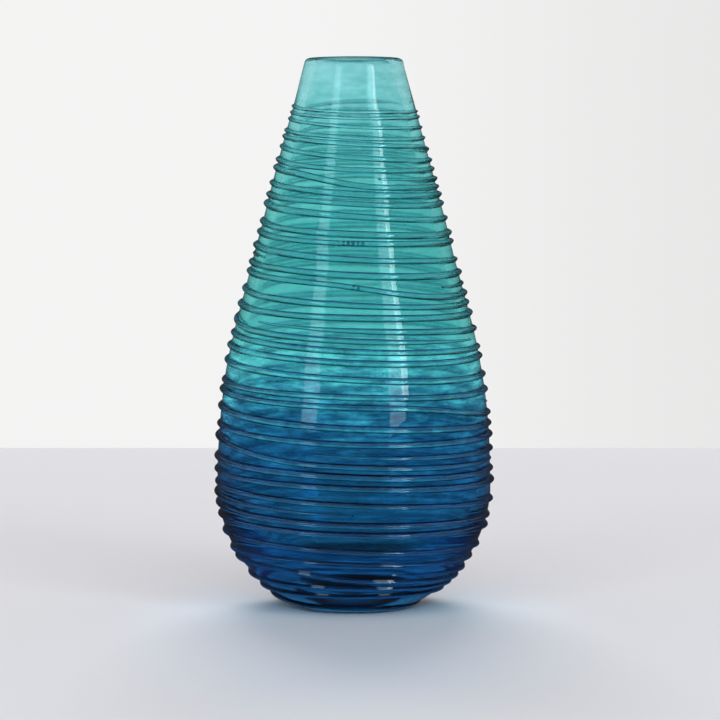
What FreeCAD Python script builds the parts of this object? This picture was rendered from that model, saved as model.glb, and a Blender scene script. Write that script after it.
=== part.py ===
import FreeCAD, Part
import math
import os

import Sketcher

# A free-blown glass bud vase, in millimetres. +Z is up, the origin is the centre of the foot.
# The wall is three gathers of glass, one inside the other: an inner gather that holds the water,
# a thin cup of blue glass round its lower half, and an outer casing. Clear glass trails are
# wound round the casing from the foot to just under the lip, each one a strand of its own.

SIZES = [
    ("vase_height", 200.0),       # foot to the top of the lip
    ("belly_radius", 50.0),       # outside, at the widest level
    ("belly_height", 45.5),       # the widest level
    ("shoulder_radius", 245.0),   # arc that carries the belly up into the neck
    ("neck_angle", 14.8),         # degrees, lean of the straight neck from vertical
    ("casing_depth", 1.4),        # outside to the blue cup, at the belly
    ("gather_depth", 2.0),        # outside to the inner gather
    ("wall", 4.0),                # outside to the hollow
    ("casing_floor", 3.6),        # height of the casing's floor, which the blue cup lies on
    ("cup_floor", 5.4),           # height of the blue cup's floor
    ("hollow_floor", 11.0),       # height of the floor that the stems stand on
    ("casing_turn", 38.0),        # radius where the casing's inside turns up from its floor
    ("cup_turn", 36.0),           # the same on the blue cup's inside
    ("hollow_turn", 30.0),        # the same in the hollow
    ("cup_top", 98.0),            # the blue cup thins out to nothing at this height
    ("dimple_radius", 11.0),      # ground pontil dimple under the foot
    ("dimple_depth", 0.9),
    ("bead_width", 2.9),          # a trail, across its melted-in foot
    ("bead_rise", 1.5),           # a trail, proud of the casing
    ("trail_first", 7.0),         # the lowest trail's start, measured up the wall from the foot
    ("trail_last", 199.0),        # the top trail's end, measured the same way
    ("trail_turns", 38.0),        # turns of the whole winding
    ("top_closing", 0.13),        # how much closer together the turns lie towards the top
    ("top_thinning", 0.5),        # how much thinner the strand is drawn by the time it ends
    ("bunch_turns", 2.7),         # turns from one bunch of strands to the next
    ("bunch_shift", 0.95),        # how far the bunching moves a strand from even spacing
    ("waver", 0.2),               # how far a strand wavers on its way round
    ("tilt", 1.0),                # half the height that a turn rises on one side of the vase
]

START, END, CENTRE = 1, 2, 3      # places on a sketch's piece, as its constraints number them

TRAIL_COUNT = 10
STATIONS_PER_TURN = 16
BEAD_RAILS = 7          # lengthwise edges of a bead's rounded face
BEAD_SHAPE = 1.2        # over 0.5, so that a bead's flanks run out into the wall in a soft fillet
END_TAPER = 0.2         # turns over which a trail's end thins
END_THICKNESS = 0.3     # of a blunt end, as a share of the full bead
START_LAP = 0.35        # turns that a new trail runs beside the end of the one before
CLOSING_POWER = 5       # how suddenly the turns start to close up
THINNING_SHARE = 0.25   # last part of the winding, where the strand is drawn thinner
LEVEL_SHARE = 0.125     # first and last part of the winding, where the tilt comes in and dies out
SLOW_WAVER = 7.6        # the strand wavers at two rates, in radians per turn
QUICK_WAVER = 17.8
QUICK_SIZE = 0.6        # of the quick waver beside the slow one

doc = FreeCAD.newDocument("bud_vase")
sheet = doc.addObject("Spreadsheet::Sheet", "sizes")
for row, (alias, value) in enumerate(SIZES, start=1):
    sheet.set("A%d" % row, alias)
    sheet.set("B%d" % row, str(value))
    sheet.setAlias("B%d" % row, alias)
doc.recompute()


def size(alias):
    return float(sheet.get(alias))


def vector(point):
    return FreeCAD.Vector(point[0], point[1], 0)


# ---- the wall's surfaces in half section ---------------------------------------------------
# Each surface is a floor arc, a turn arc, a shoulder arc and the straight neck, all tangent.

def bowl_points(depth, floor, turn):
    """Floor arc's radius, and the point where it meets the turn arc."""
    reach = size("belly_radius") - depth - turn
    drop = size("belly_height") - floor
    floor_radius = (reach ** 2 + drop ** 2 - turn ** 2) / (2 * (drop - turn))
    tilt = math.asin(reach / (floor_radius - turn))
    meet = (floor_radius * math.sin(tilt), floor + floor_radius * (1 - math.cos(tilt)))
    return floor_radius, meet


def shoulder_centre():
    return size("belly_radius") - size("shoulder_radius")


def neck_start(depth):
    """The point where the shoulder arc becomes the straight neck."""
    lean = math.radians(size("neck_angle"))
    radius = size("shoulder_radius") - depth
    return (shoulder_centre() + radius * math.cos(lean), size("belly_height") + radius * math.sin(lean))


def neck_point(depth, height):
    x, y = neck_start(depth)
    return (x - (height - y) * math.tan(math.radians(size("neck_angle"))), height)


class Section:
    """A half section in a body's own sketch: pieces are added in order round the outline."""

    def __init__(self, name):
        self.body = doc.addObject("PartDesign::Body", name)
        self.body.Label = name
        self.sketch = self.body.newObject("Sketcher::SketchObject", name + "_section")
        plane = [item for item in self.body.Origin.OriginFeatures if item.Role == "XZ_Plane"][0]
        self.sketch.AttachmentSupport = [(plane, "")]
        self.sketch.MapMode = "FlatFace"

    def line(self, start, end):
        return self.sketch.addGeometry(Part.LineSegment(vector(start), vector(end)), False)

    def arc(self, centre, start, end):
        """An arc that runs anticlockwise from start to end."""
        radius = math.dist(centre, start)
        first = math.atan2(start[1] - centre[1], start[0] - centre[0])
        last = math.atan2(end[1] - centre[1], end[0] - centre[0])
        circle = Part.Circle(vector(centre), FreeCAD.Vector(0, 0, 1), radius)
        return self.sketch.addGeometry(Part.ArcOfCircle(circle, first, last), False)

    def rule(self, kind, *places):
        self.sketch.addConstraint(Sketcher.Constraint(kind, *places))

    def bind(self, kind, places, value, expression):
        index = self.sketch.addConstraint(Sketcher.Constraint(kind, *places, value))
        self.sketch.setExpression("Constraints[%d]" % index, expression)

    def height(self, piece, end, value, expression):
        self.bind("DistanceY", (-1, 1, piece, end), value, expression)

    def reach(self, piece, end, value, expression):
        self.bind("DistanceX", (-1, 1, piece, end), value, expression)

    def bowl(self, depth_name, floor_name, turn_name):
        """Floor arc and turn arc of one surface, from the axis out to the widest level."""
        depth = size(depth_name)
        floor = size(floor_name)
        turn = size(turn_name)
        level = size("belly_height")
        widest = size("belly_radius") - depth
        floor_radius, meet = bowl_points(depth, floor, turn)
        floor_arc = self.arc((0, floor + floor_radius), (0, floor), meet)
        turn_arc = self.arc((widest - turn, level), meet, (widest, level))
        self.rule("PointOnObject", floor_arc, START, -2)
        self.rule("PointOnObject", floor_arc, CENTRE, -2)
        self.rule("Tangent", floor_arc, END, turn_arc, START)
        self.height(floor_arc, START, floor, "sizes." + floor_name)
        self.height(turn_arc, CENTRE, level, "sizes.belly_height")
        self.height(turn_arc, END, level, "sizes.belly_height")
        self.reach(turn_arc, END, widest, "sizes.belly_radius - sizes." + depth_name)
        self.bind("Radius", (turn_arc,), turn, "sizes." + turn_name)
        return floor_arc, turn_arc

    def shoulder(self, depth_name, low):
        """Shoulder arc of one surface, from the point low up to the neck."""
        depth = size(depth_name)
        level = size("belly_height")
        piece = self.arc((shoulder_centre(), level), low, neck_start(depth))
        self.height(piece, CENTRE, level, "sizes.belly_height")
        self.bind("Radius", (piece,), size("shoulder_radius") - depth,
                  "sizes.shoulder_radius - sizes." + depth_name)
        return piece

    def revolve(self):
        turned = self.body.newObject("PartDesign::Revolution", self.body.Name + "_turned")
        turned.Profile = self.sketch
        turned.ReferenceAxis = (self.sketch, ["V_Axis"])
        turned.Angle = 360
        self.body.Tip = turned
        return self.body


def cup_tip():
    """The blue cup's upper edge, in the half section."""
    radius = size("shoulder_radius") - size("gather_depth")
    rise = size("cup_top") - size("belly_height")
    return (shoulder_centre() + math.sqrt(radius ** 2 - rise ** 2), size("cup_top"))


def cup_outside(section):
    """The blue cup's outer side, which closes in on its inner side at the upper edge."""
    level = size("belly_height")
    widest = size("belly_radius") - size("casing_depth")
    tip = cup_tip()
    rise = tip[1] - level
    centre = (widest ** 2 - tip[0] ** 2 - rise ** 2) / (2 * (widest - tip[0]))
    piece = section.arc((centre, level), (widest, level), tip)
    section.height(piece, CENTRE, level, "sizes.belly_height")
    return piece


def lip_centre():
    return neck_point(size("gather_depth"), size("vase_height") - size("wall") / 2)


def lip_places():
    """Outer end, top and inner end of the lip's half circle."""
    x, y = lip_centre()
    lean = math.radians(size("neck_angle"))
    radius = size("wall") / 2
    outer = (x + radius * math.cos(lean), y + radius * math.sin(lean))
    top = (x - radius * math.sin(lean), y + radius * math.cos(lean))
    inner = (x - radius * math.cos(lean), y - radius * math.sin(lean))
    return outer, top, inner


def seat_lip(section, lip, lip_top, lip_side, contact, neck):
    """Ties a quarter of the lip to the contact line that its centre lies on and to its neck."""
    section.height(lip, CENTRE, lip_centre()[1], "sizes.vase_height - sizes.wall / 2")
    section.rule("PointOnObject", lip, CENTRE, contact)
    section.rule("Coincident", lip, lip_top, contact, END)
    section.rule("Tangent", neck, END, lip, lip_side)
    for piece in (contact, neck):
        section.bind("Angle", (piece,), math.radians(90 + size("neck_angle")),
                     "90 deg + sizes.neck_angle * 1 deg")


def outer_casing():
    section = Section("outer_casing")
    level = size("belly_height")
    belly = size("belly_radius")
    foot = math.sqrt(belly ** 2 - level ** 2)
    dimple = size("dimple_radius")
    deep = size("dimple_depth")
    dimple_arc_radius = (dimple ** 2 + deep ** 2) / (2 * deep)
    lip_outer, lip_top, _ = lip_places()

    ring = section.line((dimple, 0), (foot, 0))
    side = section.arc((0, level), (foot, 0), (belly, level))
    shoulder = section.arc((shoulder_centre(), level), (belly, level), neck_start(0))
    neck = section.line(neck_start(0), lip_outer)
    lip = section.arc(lip_centre(), lip_outer, lip_top)
    contact_shoulder = section.shoulder("gather_depth", cup_tip())
    contact_neck = section.line(neck_start(size("gather_depth")), lip_top)
    cup_side = cup_outside(section)
    floor, turn = section.bowl("casing_depth", "casing_floor", "casing_turn")
    hub = section.line((0, deep), (0, size("casing_floor")))
    dish = section.arc((0, deep - dimple_arc_radius), (dimple, 0), (0, deep))

    section.rule("PointOnObject", ring, START, -1)
    section.rule("PointOnObject", ring, END, -1)
    section.reach(ring, START, dimple, "sizes.dimple_radius")
    section.rule("Coincident", ring, END, side, START)
    section.rule("PointOnObject", side, CENTRE, -2)
    section.height(side, CENTRE, level, "sizes.belly_height")
    section.height(side, END, level, "sizes.belly_height")
    section.bind("Radius", (side,), belly, "sizes.belly_radius")
    section.rule("Coincident", side, END, shoulder, START)
    section.height(shoulder, CENTRE, level, "sizes.belly_height")
    section.bind("Radius", (shoulder,), size("shoulder_radius"), "sizes.shoulder_radius")
    section.rule("Tangent", shoulder, END, neck, START)
    section.rule("Tangent", contact_shoulder, END, contact_neck, START)
    section.reach(contact_shoulder, CENTRE, shoulder_centre(),
                  "sizes.belly_radius - sizes.shoulder_radius")
    section.height(contact_shoulder, START, size("cup_top"), "sizes.cup_top")
    seat_lip(section, lip, END, START, contact_neck, neck)
    section.rule("Coincident", cup_side, END, contact_shoulder, START)
    section.rule("Coincident", cup_side, START, turn, END)
    section.rule("Coincident", hub, END, floor, START)
    section.rule("Coincident", hub, START, dish, END)
    section.rule("PointOnObject", hub, START, -2)
    section.height(hub, START, deep, "sizes.dimple_depth")
    section.rule("PointOnObject", dish, CENTRE, -2)
    section.rule("Coincident", dish, START, ring, START)
    return section.revolve()


def blue_cup():
    section = Section("blue_cup")
    belly = size("belly_radius")
    level = size("belly_height")
    shoulder = section.arc((shoulder_centre(), level), (belly - size("gather_depth"), level), cup_tip())
    section.height(shoulder, CENTRE, level, "sizes.belly_height")
    section.bind("Radius", (shoulder,), size("shoulder_radius") - size("gather_depth"),
                 "sizes.shoulder_radius - sizes.gather_depth")
    section.height(shoulder, END, size("cup_top"), "sizes.cup_top")
    cup_side = cup_outside(section)
    inner_floor, inner_turn = section.bowl("gather_depth", "cup_floor", "cup_turn")
    outer_floor, outer_turn = section.bowl("casing_depth", "casing_floor", "casing_turn")
    hub = section.line((0, size("casing_floor")), (0, size("cup_floor")))
    section.rule("Coincident", cup_side, END, shoulder, END)
    section.rule("Coincident", cup_side, START, outer_turn, END)
    section.rule("Coincident", shoulder, START, inner_turn, END)
    section.rule("Coincident", hub, START, outer_floor, START)
    section.rule("Coincident", hub, END, inner_floor, START)
    return section.revolve()


def inner_gather():
    section = Section("inner_gather")
    belly = size("belly_radius")
    level = size("belly_height")
    _, lip_top, lip_inner = lip_places()
    outer_shoulder = section.shoulder("gather_depth", (belly - size("gather_depth"), level))
    contact_neck = section.line(neck_start(size("gather_depth")), lip_top)
    lip = section.arc(lip_centre(), lip_top, lip_inner)
    inner_shoulder = section.shoulder("wall", (belly - size("wall"), level))
    neck = section.line(neck_start(size("wall")), lip_inner)
    outer_floor, outer_turn = section.bowl("gather_depth", "cup_floor", "cup_turn")
    inner_floor, inner_turn = section.bowl("wall", "hollow_floor", "hollow_turn")
    hub = section.line((0, size("cup_floor")), (0, size("hollow_floor")))
    section.rule("Coincident", outer_turn, END, outer_shoulder, START)
    section.rule("Coincident", inner_turn, END, inner_shoulder, START)
    section.rule("Tangent", outer_shoulder, END, contact_neck, START)
    section.rule("Tangent", inner_shoulder, END, neck, START)
    seat_lip(section, lip, START, END, contact_neck, neck)
    section.rule("Coincident", hub, START, outer_floor, START)
    section.rule("Coincident", hub, END, inner_floor, START)
    return section.revolve()


# ---- the trails ------------------------------------------------------------------------------

def wall_place(travel):
    """Radius, height and outward lean of the casing at a distance travelled up it from the foot."""
    belly = size("belly_radius")
    level = size("belly_height")
    swing = size("shoulder_radius")
    foot_tilt = math.asin(level / belly)
    neck_lean = math.radians(size("neck_angle"))
    belly_run = belly * foot_tilt
    shoulder_run = swing * neck_lean
    if travel < belly_run:
        lean = travel / belly - foot_tilt
        return belly * math.cos(lean), level + belly * math.sin(lean), lean
    if travel < belly_run + shoulder_run:
        lean = (travel - belly_run) / swing
        return shoulder_centre() + swing * math.cos(lean), level + swing * math.sin(lean), lean
    beyond = travel - belly_run - shoulder_run
    x, y = neck_start(0)
    return x - beyond * math.sin(neck_lean), y + beyond * math.cos(neck_lean), neck_lean


def smooth(value):
    value = min(1.0, max(0.0, value))
    return value * value * (3 - 2 * value)


def winding(turn):
    """Distance up the wall of the whole winding, which bunches, wavers and tilts as a hand lays it."""
    share = turn / size("trail_turns")
    closing = size("top_closing")
    even = (1 + closing) * share - closing * share ** CLOSING_POWER
    spread = 1 + closing - closing * CLOSING_POWER * share ** (CLOSING_POWER - 1)
    bunching = size("bunch_shift") * math.sin(2 * math.pi * turn / size("bunch_turns"))
    wavering = math.sin(SLOW_WAVER * turn) + QUICK_SIZE * math.sin(QUICK_WAVER * turn)
    level = smooth(share / LEVEL_SHARE) * smooth((1 - share) / LEVEL_SHARE)
    travel = size("trail_first") + (size("trail_last") - size("trail_first")) * even
    travel += spread * (bunching + size("waver") * wavering)
    return travel - size("tilt") * level * math.cos(2 * math.pi * turn)


def parting(index):
    """The turn where one trail ends and the next begins, midway between two bunches."""
    if index in (0, TRAIL_COUNT):
        return size("trail_turns") * index / TRAIL_COUNT
    return size("bunch_turns") * ((4 * index + 1) // 3) + 0.5


def trail_station(turn, first, last):
    """Distance up the wall and thickness of one trail at a turn of the whole winding."""
    share = turn / size("trail_turns")
    full = smooth((turn - first) / END_TAPER) * smooth((last - turn) / END_TAPER)
    thick = END_THICKNESS + (1 - END_THICKNESS) * full
    thick *= 1 - size("top_thinning") * smooth(1 - (1 - share) / THINNING_SHARE)
    beside = 1 - smooth((turn - first - START_LAP) / END_TAPER)
    gap = winding(turn) - winding(turn - 1)
    return winding(turn) - beside * gap / 2, thick


def bead_place(travel, thick, angle, across):
    """A point of the bead's rounded face; across runs from 0 at its lower edge to 1 at its upper."""
    aside = -math.cos(math.pi * across)
    offset = thick * size("bead_width") / 2 * aside
    rise = thick * size("bead_rise") * max(0.0, 1 - aside ** 2) ** BEAD_SHAPE
    radius, height, lean = wall_place(travel + offset)
    radius += rise * math.cos(lean)
    height += rise * math.sin(lean)
    return FreeCAD.Vector(radius * math.cos(angle), radius * math.sin(angle), height)


def bead_rail(first, last, across):
    """One lengthwise edge of a bead, a smooth curve whose parameter is the turn."""
    count = round((last - first) * STATIONS_PER_TURN)
    turns = [first + (last - first) * index / count for index in range(count + 1)]
    points = []
    for turn in turns:
        travel, thick = trail_station(turn, first, last)
        points.append(bead_place(travel, thick, -2 * math.pi * turn, across))
    rail = Part.BSplineCurve()
    rail.interpolate(Points=points, Parameters=turns)
    return rail


def trail_solid(first, last):
    """A bead with a flat foot on the casing and two blunt ends, wound from turn first to last."""
    rails = [bead_rail(first, last, index / (BEAD_RAILS - 1)) for index in range(BEAD_RAILS)]
    rounds = math.ceil(last - first)
    faces = []
    for step in range(rounds):
        start = first + (last - first) * step / rounds
        end = first + (last - first) * (step + 1) / rounds
        edges = [rail.toShape(start, end) for rail in rails]
        for near, far in zip(edges, edges[1:] + edges[:1]):
            faces.append(Part.makeRuledSurface(near, far))
    for turn in (first, last):
        corners = [rail.value(turn) for rail in rails]
        faces.append(Part.Face(Part.makePolygon(corners + corners[:1])))
    skin = Part.makeCompound(faces)
    skin.sewShape()
    solid = Part.makeSolid(skin.Shells[0])
    if solid.Volume < 0:
        solid.reverse()
    return solid


def thread_trails():
    """Strands laid one after the other; each one starts beside the end of the one below it."""
    trails = []
    for index in range(TRAIL_COUNT):
        first = parting(index) - (START_LAP if index else 0)
        name = "thread_trail_%02d" % (index + 1)
        trail = doc.addObject("Part::Feature", name)
        trail.Label = name
        trail.Shape = trail_solid(first, parting(index + 1))
        trail.Placement = FreeCAD.Placement()
        trails.append(trail)
    return trails


pieces = [inner_gather(), blue_cup(), outer_casing()] + thread_trails()
doc.recompute()

for item in doc.Objects:
    if "Invalid" in item.State or "Error" in item.State:
        raise RuntimeError("%s failed: %s" % (item.Label, item.State))
os.makedirs("parts", exist_ok=True)
for piece in pieces:
    if piece.Shape.isNull() or not piece.Shape.isValid():
        raise RuntimeError("%s has no valid shape" % piece.Label)
    piece.Shape.exportStep("parts/%s.step" % piece.Label)
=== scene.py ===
import math
import random

import bpy
import numpy as np
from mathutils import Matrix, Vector


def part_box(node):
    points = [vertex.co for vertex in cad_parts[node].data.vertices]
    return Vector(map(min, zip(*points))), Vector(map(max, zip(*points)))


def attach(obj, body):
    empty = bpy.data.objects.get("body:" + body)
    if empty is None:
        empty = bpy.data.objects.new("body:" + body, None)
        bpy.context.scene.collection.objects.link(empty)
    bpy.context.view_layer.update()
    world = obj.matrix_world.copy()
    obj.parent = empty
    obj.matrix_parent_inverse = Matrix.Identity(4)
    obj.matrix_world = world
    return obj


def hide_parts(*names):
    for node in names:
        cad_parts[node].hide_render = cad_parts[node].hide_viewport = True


# A free-blown bud vase of cased glass. The CAD frame gives its size; this script blows the same
# three gathers and winds the same trails as fine meshes, and gives them their glass.

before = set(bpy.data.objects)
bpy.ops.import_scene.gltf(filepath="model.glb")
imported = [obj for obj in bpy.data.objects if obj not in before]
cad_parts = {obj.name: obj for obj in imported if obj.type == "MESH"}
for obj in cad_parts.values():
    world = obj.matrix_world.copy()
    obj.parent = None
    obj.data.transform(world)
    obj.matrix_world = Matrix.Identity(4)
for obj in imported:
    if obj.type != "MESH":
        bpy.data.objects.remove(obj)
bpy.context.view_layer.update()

MM = 0.001
casing_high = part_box("outer_casing")[1]
HEIGHT = casing_high.z                      # foot to lip
BELLY = casing_high.x                       # outside radius at the widest level
LEVEL = 45.5 * MM                           # height of the widest level
SWING = 245 * MM                            # radius of the shoulder arc
LEAN = math.radians(14.8)                   # the neck's lean from vertical
CASING_DEPTH = 1.4 * MM                     # outside to the blue cup
GATHER_DEPTH = 2.0 * MM                     # outside to the inner gather
WALL = 4.0 * MM                             # outside to the hollow
CASING_FLOOR, CUP_FLOOR, HOLLOW_FLOOR = 3.6 * MM, 5.4 * MM, 11.0 * MM
CASING_TURN, CUP_TURN, HOLLOW_TURN = 38 * MM, 36 * MM, 30 * MM
CUP_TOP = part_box("blue_cup")[1].z
DIMPLE, DIMPLE_DEPTH = 11 * MM, 0.9 * MM
HAIR = 0.02 * MM                            # kept between two gathers, so that no faces coincide
LIP_GAP = 0.01 * MM                         # between the end of the lip's round and the hollow's side

TRAIL_NAMES = sorted(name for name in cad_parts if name.startswith("thread_trail"))
TRAIL_TURNS = 38.0
TRAIL_FIRST, TRAIL_LAST = 7 * MM, 199 * MM  # measured up the wall from the foot
BEAD_WIDTH, BEAD_RISE, BEAD_SHAPE = 2.9 * MM, 1.5 * MM, 1.2
TOP_CLOSING, CLOSING_POWER = 0.13, 5        # the turns close up towards the top
TOP_THINNING, THINNING_SHARE = 0.5, 0.25    # and the strand is drawn thinner
BUNCH_TURNS, BUNCH_SHIFT = 2.7, 0.95 * MM
PARTING_LAG = 0.5                           # turns from the middle of the open winding to a trail's end
WAVER, SLOW_WAVER, QUICK_WAVER, QUICK_SIZE = 0.2 * MM, 7.6, 17.8, 0.6
TILT, LEVEL_SHARE = 1.0 * MM, 0.125
END_TAPER, END_THICKNESS, START_LAP = 0.2, 0.3, 0.35
MEAN_THICKNESS = 0.85                       # leaves room for the swells inside the CAD bead
EDGE_SHADE_START = 0.66                           # across a bead, where the painted shade along its edges begins
FOOT_SINK = 0.05 * MM                       # a bead's foot lies this deep in the casing

AROUND = 320                                # facets round the wall
DISH_STEPS, FOOT_STEPS, BOWL_STEPS = 12, 8, 90
CUP_KEEPS = 4                               # one point in this many is kept on the cup's inner side
TRAIL_STATIONS = 220                        # stations in one turn of a trail
BEAD_POINTS = 19                            # points across a bead
ON_AXIS = 1e-7                              # a point nearer to the axis than this lies on it


# ---- the wall ----------------------------------------------------------------------------------

FOOT_TILT = math.asin(LEVEL / BELLY)
BELLY_RUN = BELLY * FOOT_TILT
SHOULDER_RUN = SWING * LEAN
LIP_RADIUS = WALL / 2
LIP_HEIGHT = HEIGHT - LIP_RADIUS
EVEN_FOOT = LEVEL / 3                       # the wall has no ripple below this height

# size in mm, waves round the wall, radians per metre of height, phase
RIPPLES = [(0.10, 2, 90, 0), (0.05, 3, -170, 1), (0.03, 5, 310, 2), (0.02, 9, -260, 0)]


def smooth(value):
    """0 below 0 and 1 above 1, with an S curve between them."""
    value = min(1.0, max(0.0, value))
    return value * value * (3 - 2 * value)


def wall_place(travel, depth=0.0):
    """Radius, height and outward lean at a distance travelled up the wall from the foot."""
    if travel < BELLY_RUN:
        lean = travel / BELLY - FOOT_TILT
        radius = (BELLY - depth) * math.cos(lean)
        return radius, LEVEL + (BELLY - depth) * math.sin(lean), lean
    if travel < BELLY_RUN + SHOULDER_RUN:
        lean = (travel - BELLY_RUN) / SWING
        radius = BELLY - SWING + (SWING - depth) * math.cos(lean)
        return radius, LEVEL + (SWING - depth) * math.sin(lean), lean
    beyond = travel - BELLY_RUN - SHOULDER_RUN
    radius = BELLY - SWING + (SWING - depth) * math.cos(LEAN) - beyond * math.sin(LEAN)
    return radius, LEVEL + (SWING - depth) * math.sin(LEAN) + beyond * math.cos(LEAN), LEAN


def unevenness(angle, height):
    """The slight ripple of a wall that was blown and turned by hand; foot and lip have none."""
    if not EVEN_FOOT < height < LIP_HEIGHT:
        return 0.0
    return MM * sum(size * math.sin(waves * angle + rate * height + phase)
                    for size, waves, rate, phase in RIPPLES)


def bowl(depth, floor, turn, steps=40):
    """Floor arc and turn arc of a surface, from the axis to the widest level, as (radius, height)."""
    reach = BELLY - depth - turn
    drop = LEVEL - floor
    floor_radius = (reach ** 2 + drop ** 2 - turn ** 2) / (2 * (drop - turn))
    tilt = math.asin(reach / (floor_radius - turn))
    points = []
    for step in range(steps + 1):
        angle = tilt * step / steps
        points.append((floor_radius * math.sin(angle), floor + floor_radius * (1 - math.cos(angle))))
    for step in range(1, steps + 1):
        angle = tilt + (math.pi / 2 - tilt) * step / steps
        points.append((reach + turn * math.sin(angle), LEVEL - turn * math.cos(angle)))
    return points


def side(depth, top, steps=150):
    """A surface of the side wall from the widest level up to a height on its neck."""
    slope = LEVEL + (SWING - depth) * math.sin(LEAN)
    last = BELLY_RUN + SHOULDER_RUN + (top - slope) / math.cos(LEAN)
    return [wall_place(BELLY_RUN + (last - BELLY_RUN) * step / steps, depth)[:2]
            for step in range(1, steps + 1)]


LIP_CENTRE = (side(GATHER_DEPTH, LIP_HEIGHT)[-1][0], LIP_HEIGHT)


def lip(first, last, steps=14):
    """Part of the lip's round; 0 faces out of the wall and a half turn faces the hollow."""
    points = []
    for step in range(steps + 1):
        angle = LEAN + first + (last - first) * step / steps
        points.append((LIP_CENTRE[0] + LIP_RADIUS * math.cos(angle),
                       LIP_CENTRE[1] + LIP_RADIUS * math.sin(angle)))
    return points


def cup_thickness(height):
    """The blue cup is full up to the widest level and thins out to nothing at its upper edge."""
    return (GATHER_DEPTH - CASING_DEPTH) * smooth((CUP_TOP - height) / (CUP_TOP - LEVEL))


def cup_inside(steps=400):
    """The blue cup's inner side from the widest level to its upper edge, finely divided."""
    return [place for place in side(GATHER_DEPTH, LIP_HEIGHT, steps) if place[1] < CUP_TOP]


def cup_outside(clearance=0.0):
    """The blue cup's outer side from the widest level to its upper edge."""
    return [(radius + cup_thickness(height) + clearance, height) for radius, height in cup_inside()]


def make_mesh(name, verts, faces, kinds=None):
    """A smooth-shaded object; kinds gives each face the number of its material."""
    mesh = bpy.data.meshes.new(name)
    mesh.from_pydata(verts, [], faces)
    if kinds:
        mesh.polygons.foreach_set("material_index", kinds)
    mesh.polygons.foreach_set("use_smooth", [True] * len(mesh.polygons))
    mesh.validate()
    mesh.update()
    piece = bpy.data.objects.new(name, mesh)
    bpy.context.scene.collection.objects.link(piece)
    return piece


NO_SKIN = (-1, -1)                          # for an outline that meets no air


def band_face(near, far, step):
    """One facet between two rings of points, either of which may be a single point on the axis."""
    after = (step + 1) % AROUND
    if len(near) == 1:
        return near[0], far[after], far[step]
    if len(far) == 1:
        return near[step], near[after], far[0]
    return near[step], near[after], far[after], far[step]


def lathe(name, outline, skin):
    """Turns a closed outline into a mesh. skin is the range of outline points, (first, last), that
    meets the air: its faces get the first material and the ripple. The others, which lie against
    another gather, get the second."""
    first, last = skin
    verts, rings = [], []
    for index, (radius, height) in enumerate(outline):
        if radius < ON_AXIS:
            rings.append([len(verts)])
            verts.append((0.0, 0.0, height))
            continue
        rings.append(range(len(verts), len(verts) + AROUND))
        for step in range(AROUND):
            angle = 2 * math.pi * step / AROUND
            reach = radius
            if first <= index <= last:
                reach += unevenness(angle, height)
            verts.append((reach * math.cos(angle), reach * math.sin(angle), height))
    faces, kinds = [], []
    for index, near in enumerate(rings):
        far = rings[(index + 1) % len(rings)]
        if len(near) == 1 and len(far) == 1:
            continue
        faces += [band_face(near, far, step) for step in range(AROUND)]
        kinds += [0 if first <= index < last else 1] * AROUND
    return make_mesh(name, verts, faces, kinds)


def casing():
    """The outside of the wall, the foot with its dimple, and the outer half of the lip."""
    foot_radius = math.sqrt(BELLY ** 2 - LEVEL ** 2)
    dish_radius = (DIMPLE ** 2 + DIMPLE_DEPTH ** 2) / (2 * DIMPLE_DEPTH)
    outline = []
    for step in range(DISH_STEPS + 1):
        radius = DIMPLE * step / DISH_STEPS
        outline.append((radius, DIMPLE_DEPTH - dish_radius + math.sqrt(dish_radius ** 2 - radius ** 2)))
    for step in range(1, FOOT_STEPS + 1):
        outline.append((DIMPLE + (foot_radius - DIMPLE) * step / FOOT_STEPS, 0.0))
    outline += [wall_place(BELLY_RUN * step / BOWL_STEPS)[:2] for step in range(1, BOWL_STEPS + 1)]
    outer_lip = lip(0, math.pi / 2)
    outline += side(0, outer_lip[0][1])
    outline += outer_lip[1:]
    last = len(outline) - 1
    contact = [place for place in side(GATHER_DEPTH - HAIR, LIP_HEIGHT) if place[1] > CUP_TOP]
    outline += reversed(contact)
    outline += reversed(cup_outside(HAIR))
    outline += reversed(bowl(CASING_DEPTH - HAIR, CASING_FLOOR - HAIR, CASING_TURN))
    return lathe("casing_glass", outline, (0, last))


def cup():
    """The blue glass between the two gathers."""
    outline = bowl(CASING_DEPTH, CASING_FLOOR, CASING_TURN) + cup_outside()
    outline += reversed(cup_inside()[::CUP_KEEPS])
    outline += reversed(bowl(GATHER_DEPTH, CUP_FLOOR, CUP_TURN))
    return lathe("cup_glass", outline, NO_SKIN)


def gather():
    """The wall and floor of the hollow, and the inner half of the lip."""
    outline = bowl(GATHER_DEPTH + HAIR, CUP_FLOOR + HAIR, CUP_TURN)
    outline += side(GATHER_DEPTH + HAIR, LIP_HEIGHT)
    first = len(outline)
    inner_lip = lip(math.pi / 2, math.pi)
    outline += inner_lip
    outline += reversed(side(WALL, inner_lip[-1][1] - LIP_GAP))
    outline += reversed(bowl(WALL, HOLLOW_FLOOR, HOLLOW_TURN))
    return lathe("gather_glass", outline, (first, len(outline)))


# ---- the trails --------------------------------------------------------------------------------

# share of the bead's size, radians per turn, phase
SWELLS = [(0.07, 4.4, 0), (0.05, 10.3, 2), (0.03, 23, 1)]


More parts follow.
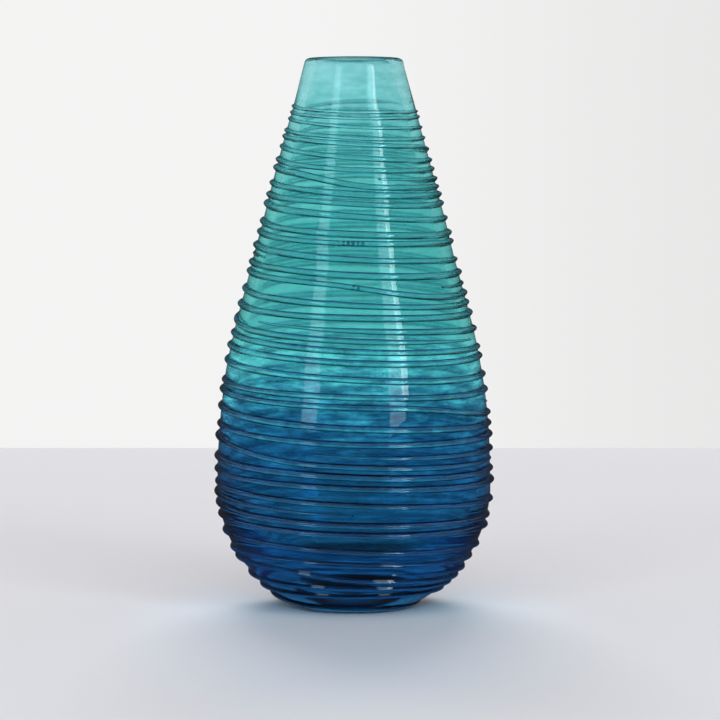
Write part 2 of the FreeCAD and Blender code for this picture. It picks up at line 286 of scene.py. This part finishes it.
def winding(turn):
    """Distance up the wall of the whole winding at a turn, the same as the CAD trails follow."""
    share = turn / TRAIL_TURNS
    even = (1 + TOP_CLOSING) * share - TOP_CLOSING * share ** CLOSING_POWER
    spread = 1 + TOP_CLOSING - TOP_CLOSING * CLOSING_POWER * share ** (CLOSING_POWER - 1)
    bunching = BUNCH_SHIFT * math.sin(2 * math.pi * turn / BUNCH_TURNS)
    wavering = math.sin(SLOW_WAVER * turn) + QUICK_SIZE * math.sin(QUICK_WAVER * turn)
    level = smooth(share / LEVEL_SHARE) * smooth((1 - share) / LEVEL_SHARE)
    travel = TRAIL_FIRST + (TRAIL_LAST - TRAIL_FIRST) * even + spread * (bunching + WAVER * wavering)
    return travel - TILT * level * math.cos(2 * math.pi * turn)


def parting(index):
    """The turn where one trail ends and the next begins, in the open winding between two bunches.
    Three trails go to every four bunches."""
    if index in (0, len(TRAIL_NAMES)):
        return TRAIL_TURNS * index / len(TRAIL_NAMES)
    return BUNCH_TURNS * ((4 * index + 1) // 3) + PARTING_LAG


def thickness(turn):
    """A trail drawn by hand swells and thins along its length, and is thinner near the lip."""
    swell = sum(size * math.sin(rate * turn + phase) for size, rate, phase in SWELLS)
    thinning = TOP_THINNING * smooth(1 - (1 - turn / TRAIL_TURNS) / THINNING_SHARE)
    return (MEAN_THICKNESS + swell) * (1 - thinning)


def bead_section(turn, travel, thick):
    """The points of a trail's section at a turn: up over its crown, then back along its foot."""
    angle = -2 * math.pi * turn
    points = []
    for step in range(2 * BEAD_POINTS - 2):
        across = -math.cos(math.pi * step / (BEAD_POINTS - 1))
        if step < BEAD_POINTS:
            rise = thick * BEAD_RISE * max(0.0, 1 - across ** 2) ** BEAD_SHAPE
        else:
            rise = -FOOT_SINK
        radius, height, lean = wall_place(travel + thick * BEAD_WIDTH / 2 * across)
        radius += unevenness(angle, height) + rise * math.cos(lean)
        height += rise * math.sin(lean)
        points.append((radius * math.cos(angle), radius * math.sin(angle), height))
    return points


def trail(index):
    """One strand, thinner at its ends. It starts beside the end of the one before."""
    first = parting(index) - (START_LAP if index else 0)
    last = parting(index + 1)
    count = round((last - first) * TRAIL_STATIONS)
    verts = []
    for station in range(count + 1):
        turn = first + (last - first) * station / count
        full = smooth((turn - first) / END_TAPER) * smooth((last - turn) / END_TAPER)
        thick = (END_THICKNESS + (1 - END_THICKNESS) * full) * thickness(turn)
        beside = 1 - smooth((turn - first - START_LAP) / END_TAPER)
        travel = winding(turn) - beside * (winding(turn) - winding(turn - 1)) / 2
        verts += bead_section(turn, travel, thick)
    points = 2 * BEAD_POINTS - 2
    faces, kinds = [], []
    for station in range(count):
        near, far = station * points, (station + 1) * points
        for step in range(points):
            after = (step + 1) % points
            faces.append((near + step, near + after, far + after, far + step))
            across = -math.cos(math.pi * (step + 0.5) / (BEAD_POINTS - 1))
            # faces near either edge of a bead's crown get the second material, the painted edge shade
            kinds.append(1 if step < BEAD_POINTS - 1 and abs(across) > EDGE_SHADE_START else 0)
    faces.append(tuple(reversed(range(points))))
    faces.append(tuple(range(count * points, (count + 1) * points)))
    return make_mesh("wound_" + TRAIL_NAMES[index], verts, faces, kinds + [0, 0])


# ---- the seeds ---------------------------------------------------------------------------------

# bubbles in strings: angle and height of the first, how many there are, and their size
PLACED_STRINGS = [(-105, 137 * MM, 8, 0.42 * MM), (-102, 121 * MM, 6, 0.34 * MM)]
CHANCE_STRINGS = 26
CHANCE_SEED = 11
SEED_HEIGHTS, SEED_SIZES = (20, 185), (0.2, 0.36)           # least and most, in mm
SEED_COUNTS = (1, 1, 2, 3, 5)
SEED_DEPTH = 0.75 * MM          # inside the casing
SEED_SPACING = 2.9              # degrees
SEED_FLATNESS = 0.7             # of its size, through the wall and up it
SEED_DRAW = 0.9                 # the most that drawing out adds to its length
SEED_CHANGE = 7                 # radians between two bubbles of a string in how far they are drawn


def seed_strings():
    """Bubbles caught in the casing lie in strings, drawn out along the winding."""
    strings = list(PLACED_STRINGS)
    chance = random.Random(CHANCE_SEED)
    for _ in range(CHANCE_STRINGS):
        angle = chance.uniform(0, 360)
        height = chance.uniform(*SEED_HEIGHTS) * MM
        strings.append((angle, height, chance.choice(SEED_COUNTS), chance.uniform(*SEED_SIZES) * MM))
    return strings


def seed_points(turn, radius, level, long, flat, segments, rings):
    """The points of one bubble, ring by ring from its top."""
    points = []
    for ring in range(rings + 1):
        polar = math.pi * ring / rings
        for step in range(segments):
            around = 2 * math.pi * step / segments
            out = radius + flat * math.sin(polar) * math.cos(around)
            aside = long * math.sin(polar) * math.sin(around)
            points.append((out * math.cos(turn) - aside * math.sin(turn),
                           out * math.sin(turn) + aside * math.cos(turn),
                           level + flat * math.cos(polar)))
    return points


def seeds(segments=8, rings=6):
    """All the bubbles in one mesh."""
    verts, faces = [], []
    for angle, height, count, size in seed_strings():
        radius, level = wall_place(BELLY_RUN + height - LEVEL, SEED_DEPTH)[:2]
        for place in range(count):
            turn = math.radians(angle + place * SEED_SPACING)
            long = size * (1.0 + SEED_DRAW * abs(math.sin(SEED_CHANGE * place + angle)))
            first = len(verts)
            verts += seed_points(turn, radius, level, long, size * SEED_FLATNESS, segments, rings)
            for ring in range(rings):
                low, high = first + ring * segments, first + (ring + 1) * segments
                for step in range(segments):
                    after = (step + 1) % segments
                    faces.append((low + step, high + step, high + after, low + after))
    return make_mesh("seeds", verts, faces)


# ---- the colours -------------------------------------------------------------------------------

# the light that one wall lets through, as (height in mm, colour): the teal glass and the blue cup
TEAL_KEPT = [(97, (0.32, 0.79, 0.785)), (125, (0.30, 0.76, 0.75)), (148, (0.315, 0.77, 0.76)),
             (170, (0.375, 0.805, 0.80)), (185, (0.45, 0.83, 0.84)), (197, (0.53, 0.86, 0.88))]
BLUE_KEPT = [(10, (0.28, 0.47, 0.72)), (34, (0.27, 0.43, 0.66)), (50, (0.26, 0.42, 0.65)),
             (60, (0.265, 0.42, 0.66)), (72, (0.39, 0.56, 0.755)), (82, (0.71, 0.82, 0.90)),
             (95, (1.0, 1.0, 1.0))]
# the painted shade multiplied into the round inside the lip
LIP_SHADE = (0.10, 0.28, 0.28)
LIP_SHADE_FADE = (1.2, 0.4)           # lip radii below the top, where its painted shade begins and is full
SEED_KEPT = (0.35, 0.6, 0.65)
# a trail's crown, and the painted shade along its edges, darker lower down, as (share of the way up, colour)
TRAIL_CROWN = [(0.05, (0.60, 0.86, 0.98)), (0.45, (0.68, 0.92, 0.97)), (1.0, (0.72, 0.95, 0.98))]
TRAIL_EDGE_SHADE = [(0.05, (0.015, 0.04, 0.08)), (0.45, (0.06, 0.13, 0.19)), (1.0, (0.20, 0.42, 0.46))]

PER_FACE = 2.0                  # a refracting face takes the square root of its colour
TEAL_OUTSIDE, TEAL_INSIDE = 0.85, 0.15      # shares of the tint on the casing's and the hollow's skin
BLUE_OUTSIDE, BLUE_BETWEEN = 0.8, 0.1       # on the casing's skin, and on each face of the blue cup


def colour_at(stops, place):
    """The colour of a ramp at one place."""
    places = [stop[0] for stop in stops]
    return [float(np.interp(place, places, [stop[1][band] for stop in stops])) for band in range(3)]


def part_of(stops, power):
    """The same ramp for a layer that does only part of the tinting."""
    return [(height, tuple(value ** power for value in colour)) for height, colour in stops]


def both(first, second):
    """One ramp that tints as two do together."""
    stops = []
    for height in sorted({stop[0] for stop in first + second}):
        pairs = zip(colour_at(first, height), colour_at(second, height))
        stops.append((height, tuple(one * other for one, other in pairs)))
    return stops


CASING_STOPS = both(part_of(TEAL_KEPT, TEAL_OUTSIDE * PER_FACE), part_of(BLUE_KEPT, BLUE_OUTSIDE * PER_FACE))
GATHER_STOPS = part_of(TEAL_KEPT, TEAL_INSIDE * PER_FACE)
CUP_STOPS = part_of(BLUE_KEPT, BLUE_BETWEEN)


# ---- materials ---------------------------------------------------------------------------------

GLASS_IOR = 1.5
HOLLOW_ROUGHNESS = 0.12         # the hollow's skin is less polished, and blurs the trails behind it
TRAIL_ROUGHNESS = 0.05
MOTTLE = 100 * MM               # how far the mottling moves the colours up and down
MOTTLE_STRETCH = (1.0, 1.0, 4.0)            # its patches are drawn out along the winding
NOISE_RANGE = (0.3, 0.7)        # where most of the noise lies
MOTTLE_SHADE = (0.84, 1.24)     # what it darkens and lightens the colours to


def new_material(name):
    """An empty material with an output."""
    material = bpy.data.materials.new(name)
    material.use_nodes = True
    nodes = material.node_tree.nodes
    nodes.clear()
    output = nodes.new("ShaderNodeOutputMaterial")
    return material, nodes, material.node_tree.links, output


def own_place(nodes, links):
    """A point's place in its own object, whole and split into X, Y and Z."""
    coordinate = nodes.new("ShaderNodeTexCoord")
    split = nodes.new("ShaderNodeSeparateXYZ")
    links.new(coordinate.outputs["Object"], split.inputs[0])
    return coordinate.outputs["Object"], split.outputs


def calculate(nodes, links, operation, *values):
    """A calculation with plain numbers and the outputs of other nodes."""
    node = nodes.new("ShaderNodeMath")
    node.operation = operation
    for socket, value in zip(node.inputs, values):
        if isinstance(value, float):
            socket.default_value = value
        else:
            links.new(value, socket)
    return node.outputs[0]


def map_range(nodes, links, value, source, result, curve="LINEAR"):
    """Takes a value from one (low, high) range to another, and stops at its ends."""
    node = nodes.new("ShaderNodeMapRange")
    node.interpolation_type = curve
    for socket, limit in zip(("From Min", "From Max", "To Min", "To Max"), source + result):
        node.inputs[socket].default_value = limit
    links.new(value, node.inputs["Value"])
    return node.outputs["Result"]


def mottling(nodes, links, place):
    """Cloudy noise, drawn out along the winding."""
    mapping = nodes.new("ShaderNodeMapping")
    mapping.inputs["Scale"].default_value = MOTTLE_STRETCH
    links.new(place, mapping.inputs["Vector"])
    noise = nodes.new("ShaderNodeTexNoise")
    noise.inputs["Scale"].default_value = 95.0
    noise.inputs["Detail"].default_value = 8.0
    noise.inputs["Roughness"].default_value = 0.75
    links.new(mapping.outputs[0], noise.inputs["Vector"])
    return noise.outputs["Fac"]


def height_ramp(nodes, links, stops, height):
    """A colour ramp up the vase."""
    ramp = nodes.new("ShaderNodeValToRGB")
    ramp.color_ramp.interpolation = "B_SPLINE"
    while len(ramp.color_ramp.elements) < len(stops):
        ramp.color_ramp.elements.new(0.5)
    for element, (level, colour) in zip(ramp.color_ramp.elements, stops):
        element.position = level * MM / HEIGHT
        element.color = (*colour, 1.0)
    links.new(calculate(nodes, links, "DIVIDE", height, HEIGHT), ramp.inputs[0])
    return ramp.outputs["Color"]


def mottled_ramp(nodes, links, stops):
    """A colour ramp up the vase that clouds in the glass break up, darken and lighten."""
    place, axes = own_place(nodes, links)
    clouds = mottling(nodes, links, place)
    shift = calculate(nodes, links, "MULTIPLY_ADD", clouds, MOTTLE, -MOTTLE / 2)
    height = calculate(nodes, links, "ADD", axes["Z"], shift)
    shade = nodes.new("ShaderNodeVectorMath")
    shade.operation = "SCALE"
    links.new(height_ramp(nodes, links, stops, height), shade.inputs[0])
    links.new(map_range(nodes, links, clouds, NOISE_RANGE, MOTTLE_SHADE), shade.inputs["Scale"])
    return shade.outputs["Vector"]


def painted_lip_shade(nodes, links, colour, height):
    """Painted shade: the round of the lip is darkened towards the top, more than the wall below it."""
    fade = tuple(HEIGHT - radii * LIP_RADIUS for radii in LIP_SHADE_FADE)
    mix = nodes.new("ShaderNodeMix")
    mix.data_type = "RGBA"
    mix.blend_type = "MULTIPLY"
    links.new(map_range(nodes, links, height, fade, (0.0, 1.0), "SMOOTHSTEP"), mix.inputs["Factor"])
    links.new(colour, mix.inputs["A"])
    mix.inputs["B"].default_value = (*LIP_SHADE, 1.0)
    return mix.outputs["Result"]


def glass(name, roughness):
    """A glass without a tint: the material, its nodes and links, and the socket for its tint."""
    material, nodes, links, output = new_material(name)
    shader = nodes.new("ShaderNodeBsdfPrincipled")
    shader.inputs["Transmission Weight"].default_value = 1.0
    shader.inputs["IOR"].default_value = GLASS_IOR
    shader.inputs["Roughness"].default_value = roughness
    links.new(shader.outputs[0], output.inputs["Surface"])
    return material, nodes, links, shader.inputs["Base Color"]


def casing_skin():
    """The outside of the wall is polished, and carries most of the tint."""
    material, nodes, links, tint = glass("casing_skin", 0.0)
    links.new(mottled_ramp(nodes, links, CASING_STOPS), tint)
    return material


def gather_skin():
    """The hollow's side of the wall, and the inner half of the lip, with painted shade on the lip's round.
    """
    material, nodes, links, tint = glass("gather_skin", HOLLOW_ROUGHNESS)
    height = own_place(nodes, links)[1]["Z"]
    colour = height_ramp(nodes, links, GATHER_STOPS, height)
    # paints shade on the lip's round
    links.new(painted_lip_shade(nodes, links, colour, height), tint)
    return material


def plain_glass(name, colour, roughness=0.0):
    """Glass of one tint all over."""
    material, nodes, links, tint = glass(name, roughness)
    tint.default_value = (*colour, 1.0)
    return material


def inside_glass(name, stops=None):
    """A face that lies against another gather: light passes it without bending, only tinted."""
    material, nodes, links, output = new_material(name)
    clear = nodes.new("ShaderNodeBsdfTransparent")
    if stops:
        links.new(mottled_ramp(nodes, links, stops), clear.inputs["Color"])
    links.new(clear.outputs[0], output.inputs["Surface"])
    return material


# ---- the pieces --------------------------------------------------------------------------------

def dress(piece, node, materials):
    """Gives a piece its materials and ties it to the frame."""
    for material in materials:
        piece.data.materials.append(material)
    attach(piece, "root")
    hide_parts(node)


clear_contact = inside_glass("gathers_meet")
blue_contact = inside_glass("blue_between", CUP_STOPS)
dress(casing(), "outer_casing", [casing_skin(), clear_contact])
dress(gather(), "inner_gather", [gather_skin(), clear_contact])
dress(cup(), "blue_cup", [blue_contact, blue_contact])
dress(seeds(), "outer_casing", [plain_glass("seed_glass", SEED_KEPT)])
for index, name in enumerate(TRAIL_NAMES):
    share = (index + 0.5) / len(TRAIL_NAMES)
    # each trail gets glass for its crown and darker glass painted as shade along its edges
    glasses = [plain_glass("trail_%s_%02d" % (part, index + 1), colour_at(stops, share), TRAIL_ROUGHNESS)
               for part, stops in (("crown", TRAIL_CROWN), ("edge_shade", TRAIL_EDGE_SHADE))]
    dress(trail(index), name, glasses)


# ---- the studio --------------------------------------------------------------------------------

TABLE_REACH = 4.0
TABLE_EDGE = 0.468              # behind the vase
TABLE_WHITE = (0.805, 0.79, 0.82)
STUDIO_RADIUS, STUDIO_FOOT, STUDIO_TOP = 2.3, -1.0, 1.6
STUDIO_WHITE, STUDIO_GLOW = (1.0, 0.998, 0.995), 0.90
# along an axis, from one place to the other, the glow goes from one share to the other
STUDIO_SHADES = [("Y", (-1.8, 0.6), (0.42, 1.0)), ("X", (-0.05, 0.32), (1.0, 0.90))]
ROOM_BELOW, ROOM_ABOVE = (0.04, 0.04, 0.045), (0.06, 0.06, 0.065)

FRONT_BLUE, SIDE_BLUE = (0.02, 0.50, 1.0), (0.08, 0.62, 1.0)
NARROW_TINT, GLOW_TINT = (0.80, 0.96, 1.0), (0.75, 0.93, 1.0)
# width and lower end of the strips that make up a glow; each side of the vase has one
RIGHT_STRIPS = [(0.40, 0.18), (0.28, 0.34), (0.16, 0.50)]
LEFT_STRIPS = [(0.40, 0.16), (0.24, 0.30), (0.10, 0.44)]

CAMERA_DISTANCE, CAMERA_HEIGHT = 1.85, 0.285
AIM = (0.0022, 0.0, 0.0899)
FRAME_WIDTH = 0.2614            # what the picture takes in at the vase, from side to side
SENSOR = 36.0                   # mm


def table_white():
    """Matt white paint."""
    material, nodes, links, output = new_material("table_white")
    shader = nodes.new("ShaderNodeBsdfPrincipled")
    shader.inputs["Base Color"].default_value = (*TABLE_WHITE, 1.0)
    shader.inputs["Roughness"].default_value = 0.55
    shader.inputs["Specular IOR Level"].default_value = 0.3
    links.new(shader.outputs[0], output.inputs["Surface"])
    return material


def wall_white():
    """White walls that glow less towards the front and a little less to the right of the back."""
    material, nodes, links, output = new_material("wall_white")
    axes = own_place(nodes, links)[1]
    shades = [map_range(nodes, links, axes[axis], source, result, "SMOOTHSTEP")
              for axis, source, result in STUDIO_SHADES]
    shade = calculate(nodes, links, "MULTIPLY", *shades)
    glow = calculate(nodes, links, "MULTIPLY", shade, STUDIO_GLOW)
    shader = nodes.new("ShaderNodeEmission")
    shader.inputs["Color"].default_value = (*STUDIO_WHITE, 1.0)
    links.new(glow, shader.inputs["Strength"])
    links.new(shader.outputs[0], output.inputs["Surface"])
    return material


def set_up(name, verts, faces, material):
    """Puts a piece of the studio in place. The glass doesn't reflect it."""
    piece = make_mesh(name, verts, faces)
    piece.data.materials.append(material)
    piece.visible_glossy = False
    return piece


def table():
    """A table top that ends a little way behind the vase."""
    left, right, front = -TABLE_REACH, TABLE_REACH, -TABLE_REACH
    corners = [(left, front, 0), (right, front, 0), (right, TABLE_EDGE, 0), (left, TABLE_EDGE, 0)]
    set_up("table_top", corners, [(0, 1, 2, 3)], table_white())


def pale_walls(steps=96):
    """Pale walls all round, so that the glass is seen against light from every side."""
    verts, faces = [], []
    for step in range(steps):
        angle = 2 * math.pi * step / steps
        for height in (STUDIO_FOOT, STUDIO_TOP):
            verts.append((STUDIO_RADIUS * math.cos(angle), STUDIO_RADIUS * math.sin(angle), height))
        near, far = 2 * step, 2 * ((step + 1) % steps)
        faces.append((near, near + 1, far + 1, far))
    piece = set_up("pale_walls", verts, faces, wall_white())
    piece.visible_shadow = False


def room():
    """A dark room round it all, so that the glass reflects hardly anything but the lights."""
    world = bpy.data.worlds.new("room")
    bpy.context.scene.world = world
    world.use_nodes = True
    nodes, links = world.node_tree.nodes, world.node_tree.links
    nodes.clear()
    coordinate = nodes.new("ShaderNodeTexCoord")
    split = nodes.new("ShaderNodeSeparateXYZ")
    ramp = nodes.new("ShaderNodeValToRGB")
    for element, colour in zip(ramp.color_ramp.elements, (ROOM_BELOW, ROOM_ABOVE)):
        element.color = (*colour, 1.0)
    background = nodes.new("ShaderNodeBackground")
    output = nodes.new("ShaderNodeOutputWorld")
    links.new(coordinate.outputs["Generated"], split.inputs[0])
    links.new(split.outputs["Z"], ramp.inputs[0])
    links.new(ramp.outputs["Color"], background.inputs["Color"])
    links.new(background.outputs[0], output.inputs["Surface"])


def hang(light, place, target, in_glass):
    """Turns a light to its target. No light is seen directly; in_glass says if it shows in the glass."""
    lamp = bpy.data.objects.new(light.name, light)
    bpy.context.scene.collection.objects.link(lamp)
    lamp.location = place
    lamp.rotation_euler = (Vector(target) - Vector(place)).to_track_quat("-Z", "Y").to_euler()
    lamp.visible_camera = False
    lamp.visible_glossy = in_glass
    lamp.visible_transmission = in_glass


def panel(name, width, height, radiance, colour=(1, 1, 1)):
    """A flat light whose face has the same radiance whatever its size."""
    light = bpy.data.lights.new(name, "AREA")
    light.shape = "RECTANGLE"
    light.size = width
    light.size_y = height
    light.energy = radiance * math.pi * width * height
    light.color = colour
    return light


def window(name, azimuth, distance, low, high, width, radiance, colour):
    """An upright strip of light that faces the vase; azimuth is from the camera's side, in degrees."""
    turn = math.radians(azimuth)
    middle = (low + high) / 2
    place = (math.sin(turn) * distance, -math.cos(turn) * distance, middle)
    hang(panel(name, width, high - low, radiance, colour), place, (0, 0, middle), True)


def soft_light(name, place, width, depth, radiance):
    """A big light for the table and the vase that doesn't show in the glass."""
    hang(panel(name, width, depth, radiance), place, (0, 0, 0), False)


def blue_pool(name, place, target, angle, power, colour):
    """Light tinted by the glass, which pools on the table at the vase's foot."""
    light = bpy.data.lights.new(name, "SPOT")
    light.energy = power
    light.color = colour
    light.spot_size = math.radians(angle)
    light.spot_blend = 1.0
    light.shadow_soft_size = 0.02
    hang(light, place, target, False)


def lights():
    """Windows that show in the glass, soft lights for the table, and the pools of blue."""
    blue_pool("front_pool", place=(0.0, -1.1, 0.55), target=(0.0, -0.09, 0.0), angle=10,
              power=12.0, colour=FRONT_BLUE)
    for hand in (-1, 1):
        blue_pool("side_pool_%d" % hand, place=(0.30 * hand, -0.6, 0.40),
                  target=(0.030 * hand, 0.0, 0.0), angle=6, power=4.5, colour=SIDE_BLUE)
    soft_light("back_light", place=(-0.15, 3.4, 2.6), width=2.6, depth=1.6, radiance=10.6)
    soft_light("top_light", place=(0.0, -1.5, 1.9), width=2.4, depth=2.0, radiance=1.5)
    window("narrow_window", azimuth=46, distance=1.5, low=0.30, high=1.15, width=0.16,
           radiance=6.5, colour=NARROW_TINT)
    for width, low in RIGHT_STRIPS:
        window("right_glow_%d" % (100 * width), azimuth=38, distance=1.6, low=low, high=1.30,
               width=width, radiance=2.4, colour=GLOW_TINT)
    for width, low in LEFT_STRIPS:
        window("left_glow_%d" % (100 * width), azimuth=-38, distance=1.6, low=low, high=1.15,
               width=width, radiance=2.2, colour=GLOW_TINT)


def camera():
    """A long lens, well above the lip, aimed at about the middle of the vase."""
    data = bpy.data.cameras.new("camera")
    data.sensor_width = SENSOR
    data.lens = SENSOR * CAMERA_DISTANCE / FRAME_WIDTH
    piece = bpy.data.objects.new("camera", data)
    bpy.context.scene.collection.objects.link(piece)
    bpy.context.scene.camera = piece
    piece.location = (AIM[0], -CAMERA_DISTANCE, CAMERA_HEIGHT)
    piece.rotation_mode = "QUATERNION"
    piece.rotation_quaternion = (Vector(AIM) - piece.location).to_track_quat("-Z", "Y")


def light_paths():
    """Enough bounces for light to pass the near and far walls with their trails."""
    scene = bpy.context.scene
    scene.view_settings.view_transform = "Standard"
    scene.cycles.max_bounces = 32
    scene.cycles.transmission_bounces = 28
    scene.cycles.transparent_max_bounces = 48
    scene.cycles.glossy_bounces = 8
    scene.cycles.diffuse_bounces = 3


table()
pale_walls()
room()
lights()
camera()
light_paths()
